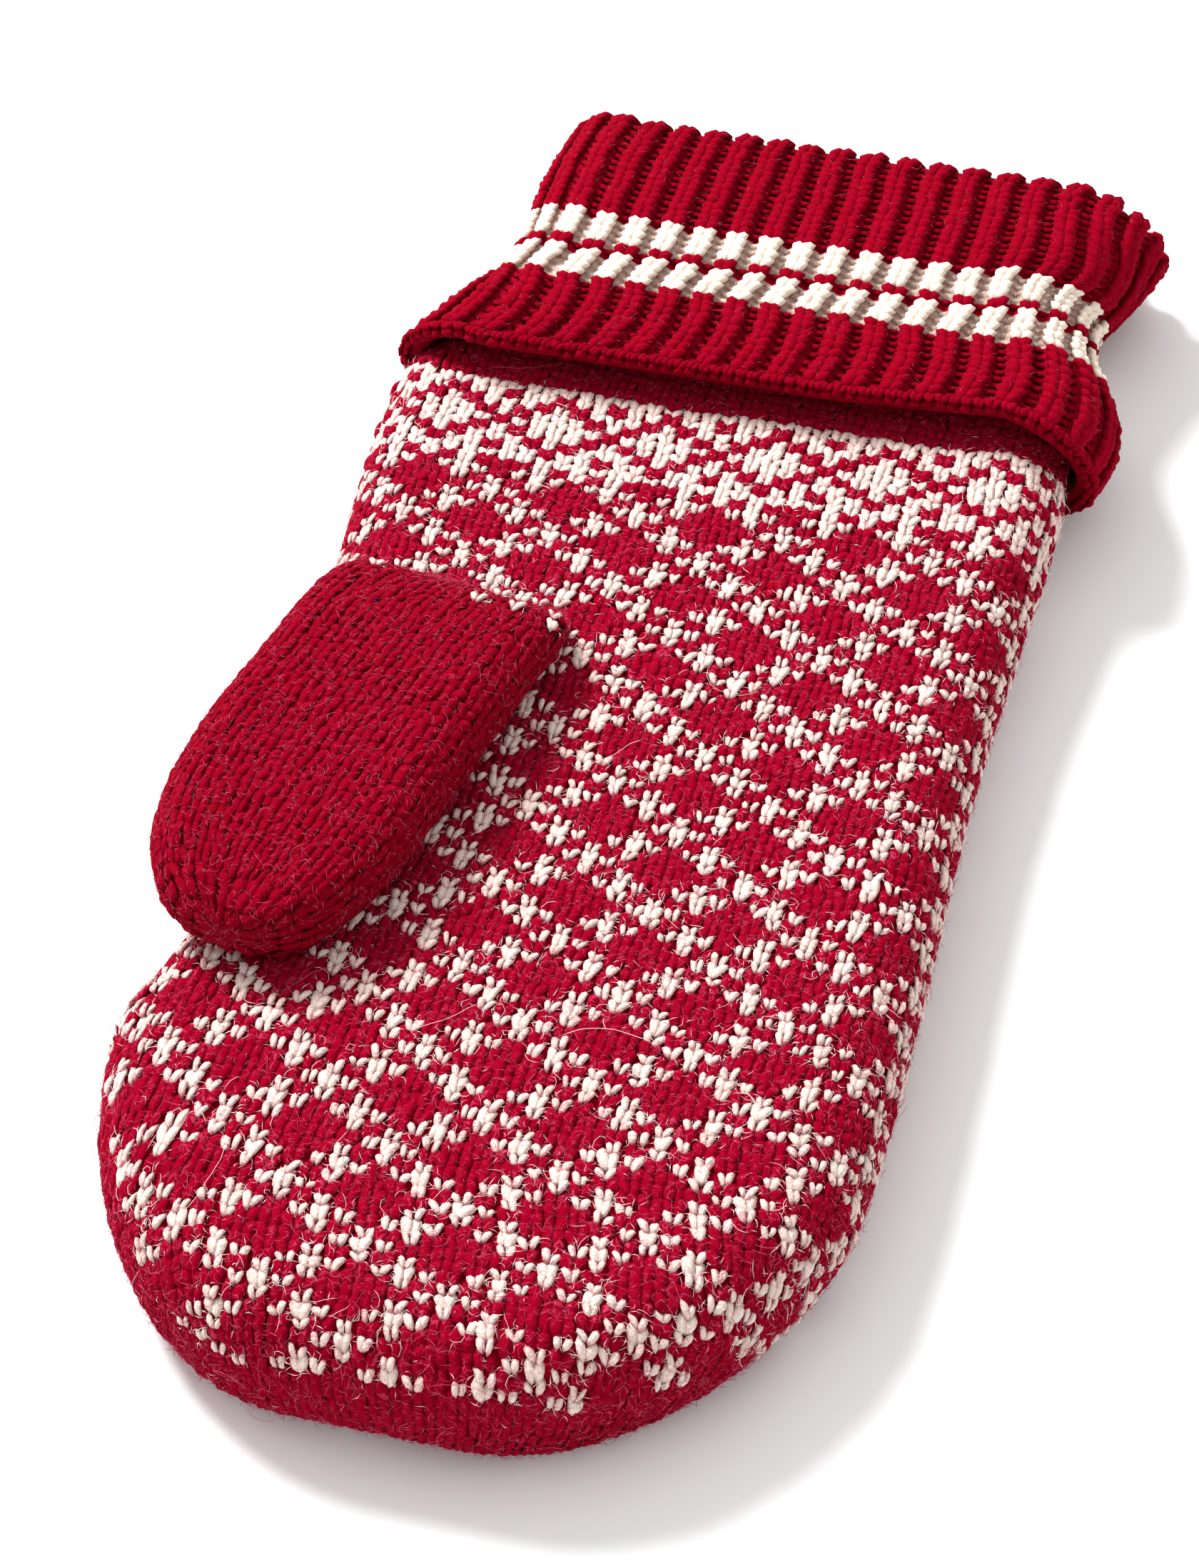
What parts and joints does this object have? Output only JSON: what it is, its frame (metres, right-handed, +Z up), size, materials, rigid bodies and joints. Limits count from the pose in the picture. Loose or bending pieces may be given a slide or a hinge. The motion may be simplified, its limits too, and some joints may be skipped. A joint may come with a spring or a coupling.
{
  "type": "knitted mitten",
  "caption": "Knitted wool mitten lying palm up, with a rounded tip, a thumb folded over the palm and a ribbed cuff turned back over the wrist.",
  "frame": {"origin": "middle of the underside of the mitten's bounding box", "axes": "+Y from the fingertips to the cuff, +Z up from the floor through the palm, +X away from the thumb"},
  "size_m": [0.1044, 0.2516, 0.0321],
  "materials": {
    "hand_wool": "red and off-white patterned wool, fuzzy and matte",
    "thumb_wool": "plain red wool, fuzzy and matte",
    "cuff_wool": "red ribbed wool with off-white stripes, matte"
  },
  "bodies": {
    "root": {"hand": "hand_wool", "thumb": "thumb_wool", "cuff": "cuff_wool"}
  },
  "joints": []
}
